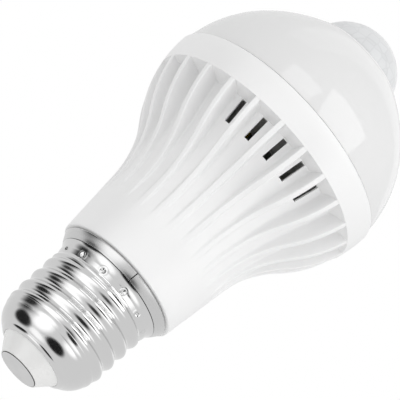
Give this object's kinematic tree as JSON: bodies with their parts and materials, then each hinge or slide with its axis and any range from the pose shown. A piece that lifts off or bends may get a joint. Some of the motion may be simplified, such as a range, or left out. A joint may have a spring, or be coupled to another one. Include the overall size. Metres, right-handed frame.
{
  "type": "motion sensor LED bulb",
  "caption": "Screw-cap LED lamp with a ribbed bell housing with vent slots, a milky globe and a small domed motion sensor lens on top, with its driver and sensor boards inside.",
  "frame": {"origin": "middle of the centre contact's outer face, the lowest point of the bulb", "axes": "+Z along the bulb's axis from the cap to the sensor lens; +X through the middle one of five vent slots, the side that faces the camera; +Y completes a right-handed frame"},
  "size_m": [0.0584, 0.0584, 0.1118],
  "materials": {
    "contact_steel": "satin tinned steel disc",
    "cap_plastic": "glossy white moulding",
    "solder": "dull tin solder",
    "shell_nickel": "bright nickel plate on brass sheet",
    "ring_nickel": "bright nickel plate",
    "housing_plastic": "smooth semi-gloss white polycarbonate",
    "globe_diffuser": "milky light-spreading polycarbonate",
    "lens_polyethylene": "soft white polyethylene, faceted inside",
    "board_aluminium": "aluminium plate with white solder mask",
    "led_package": "white moulded lamp package",
    "led_phosphor": "yellow phosphor in clear silicone",
    "screw_steel": "zinc-plated steel",
    "post_plastic": "white moulding",
    "circuit_board": "glass-fibre board with green mask",
    "can_steel": "nickel-plated steel can",
    "filter_window": "dark infrared filter pane",
    "photocell_resin": "dark clear resin",
    "chip_resin": "black moulded resin",
    "film_box": "yellow moulded box",
    "capacitor_sleeve": "shrunk dark sleeve",
    "ferrite": "sintered dark ferrite",
    "coil_tape": "yellow winding tape",
    "resistor_coat": "green flameproof coat",
    "lead_red": "silicone sleeve",
    "lead_black": "silicone sleeve",
    "lead_white": "vinyl sleeve",
    "lead_yellow": "vinyl sleeve"
  },
  "bodies": {
    "root": {"centre_contact": "contact_steel", "cap_insulator": "cap_plastic", "contact_solder": "solder", "screw_shell": "shell_nickel", "collar_ring": "ring_nickel", "housing": "housing_plastic", "globe": "globe_diffuser", "sensor_lens": "lens_polyethylene", "led_board": "board_aluminium", "led_packages": "led_package", "led_phosphors": "led_phosphor", "board_screws": "screw_steel", "sensor_post": "post_plastic", "sensor_board": "circuit_board", "sensor_can": "can_steel", "sensor_window": "filter_window", "photocell": "photocell_resin", "amplifier_chip": "chip_resin", "driver_board": "circuit_board", "film_capacitor": "film_box", "bulk_capacitor": "capacitor_sleeve", "transformer_core": "ferrite", "transformer_coil": "coil_tape", "output_capacitor": "capacitor_sleeve", "bridge_rectifier": "chip_resin", "controller_chip": "chip_resin", "fuse_resistor": "resistor_coat", "live_lead": "lead_red", "neutral_lead": "lead_black", "led_leads": "lead_white", "sensor_leads": "lead_yellow"}
  },
  "joints": []
}
